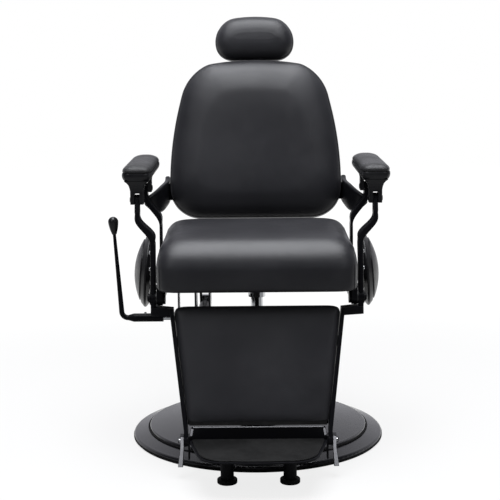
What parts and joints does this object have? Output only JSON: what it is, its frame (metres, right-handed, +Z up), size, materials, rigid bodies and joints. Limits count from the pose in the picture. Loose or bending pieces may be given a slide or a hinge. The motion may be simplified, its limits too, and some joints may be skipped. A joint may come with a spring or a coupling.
{
  "type": "barber chair",
  "caption": "Padded barber chair on a round base with pump lift, swivel, linked recline, leg rest, folding foot plate and sliding headrest.",
  "frame": {"origin": "centre of the round base on the floor, on the lift and swivel axis", "axes": "+Z up along the lift axis, the chair faces -Y, +X is to the right when looking at the front of the chair"},
  "size_m": [0.6916, 0.9274, 1.0847],
  "materials": {
    "black_metal": "satin",
    "gloss_metal": "gloss",
    "black_rubber": "matte",
    "chrome": "polished",
    "zinc": "satin",
    "bush_plastic": "satin",
    "board": "matte",
    "leatherette": "satin",
    "arm_pad": "satin",
    "black_plastic": "satin"
  },
  "bodies": {
    "base": {"base_plate": "black_metal", "rim_gasket": "black_rubber", "base_disc": "gloss_metal", "pump_body": "black_metal", "pump_head": "black_metal", "pump_bolts": "zinc", "pedal_pin": "zinc"},
    "pump_pedal": {"pedal_arm": "black_metal", "pedal_pad": "black_rubber"},
    "lift": {"lift_piston": "chrome"},
    "seat": {"seat_hub": "chrome", "seat_plate": "black_metal", "seat_rail_left": "black_metal", "seat_rail_right": "black_metal", "shaft_bushes": "bush_plastic", "seat_board": "board", "seat_cushion": "leatherette", "seat_bolts": "zinc", "pod_brackets": "black_metal", "pod_housing_left": "black_plastic", "pod_housing_right": "black_plastic", "pod_cap_left": "black_plastic", "pod_cap_right": "black_plastic", "lever_hangers": "zinc", "recline_cylinder": "black_metal"},
    "recline_lever": {"lever_shaft": "zinc", "recline_lever": "black_metal", "lever_knob": "black_plastic", "lever_screws": "zinc", "release_cam": "black_metal"},
    "recline_rod": {"recline_rod": "chrome"},
    "backrest": {"recline_shaft": "zinc", "recline_crank": "black_metal", "back_arm_left": "black_metal", "back_arm_right": "black_metal", "back_board": "board", "back_cushion": "leatherette", "back_shell": "black_plastic", "back_screws": "zinc", "headrest_guide": "black_metal"},
    "headrest": {"headrest_post": "chrome", "headrest_cushion": "leatherette", "headrest_board": "board"},
    "armrest_left": {"armrest_base_left": "black_plastic", "armrest_pad_left": "arm_pad", "armrest_pins_left": "zinc"},
    "armrest_right": {"armrest_base_right": "black_plastic", "armrest_pad_right": "arm_pad", "armrest_pins_right": "zinc"},
    "legrest": {"legrest_shaft": "black_metal", "leg_lever_left": "black_metal", "leg_lever_right": "black_metal", "legrest_board": "board", "legrest_cushion": "leatherette", "legrest_crossbars": "black_metal"},
    "footplate": {"foot_plate": "black_metal", "foot_mat": "black_rubber", "foot_posts": "black_metal", "foot_bumpers": "black_rubber", "foot_pins": "zinc"}
  },
  "joints": [
    {"name": "lift_slide", "type": "slide", "parent": "base", "child": "lift", "axis": [0, 0, 1], "range_m": [0, 0.15]},
    {"name": "seat_swivel", "type": "hinge", "parent": "lift", "child": "seat", "pos_m": [0, 0, 0.4], "axis": [0, 0, 1], "continuous": true},
    {"name": "recline", "type": "hinge", "parent": "seat", "child": "backrest", "pos_m": [0, 0.055, 0.405], "axis": [-1, 0, 0], "range_deg": [0, 45]},
    {"name": "legrest_swing", "type": "hinge", "parent": "seat", "child": "legrest", "pos_m": [0, -0.205, 0.405], "axis": [-1, 0, 0], "range_deg": [0, 45]},
    {"name": "armrest_left_level", "type": "hinge", "parent": "backrest", "child": "armrest_left", "pos_m": [-0.289, 0.09, 0.642], "axis": [-1, 0, 0], "range_deg": [-45, 0]},
    {"name": "armrest_right_level", "type": "hinge", "parent": "backrest", "child": "armrest_right", "pos_m": [0.289, 0.09, 0.642], "axis": [-1, 0, 0], "range_deg": [-45, 0]},
    {"name": "recline_rod_slide", "type": "slide", "parent": "seat", "child": "recline_rod", "axis": [0, -1, 0], "range_m": [0, 0.0506]},
    {"name": "footplate_fold", "type": "hinge", "parent": "legrest", "child": "footplate", "pos_m": [0, -0.345, 0.089], "axis": [-1, 0, 0], "range_deg": [0, 85]},
    {"name": "recline_release", "type": "hinge", "parent": "seat", "child": "recline_lever", "pos_m": [-0.2, -0.125, 0.34001], "axis": [-1, 0, 0], "range_deg": [0, 25], "stiffness_Nm_per_rad": 2, "springref_deg": -17.19},
    {"name": "headrest_slide", "type": "slide", "parent": "backrest", "child": "headrest", "axis": [0, 0.2079, 0.9781], "range_m": [0, 0.08]},
    {"name": "pump_press", "type": "hinge", "parent": "base", "child": "pump_pedal", "pos_m": [0, 0.064, 0.1], "axis": [-1, 0, 0], "range_deg": [0, 12], "stiffness_Nm_per_rad": 10, "springref_deg": -17.19}
  ],
  "couplings": [
    {"joint": "legrest_swing", "follows": "recline", "ratio": 1},
    {"joint": "armrest_left_level", "follows": "recline", "ratio": -1},
    {"joint": "armrest_right_level", "follows": "recline", "ratio": -1},
    {"joint": "recline_rod_slide", "follows": "recline", "m_per_rad": 0.064317}
  ]
}
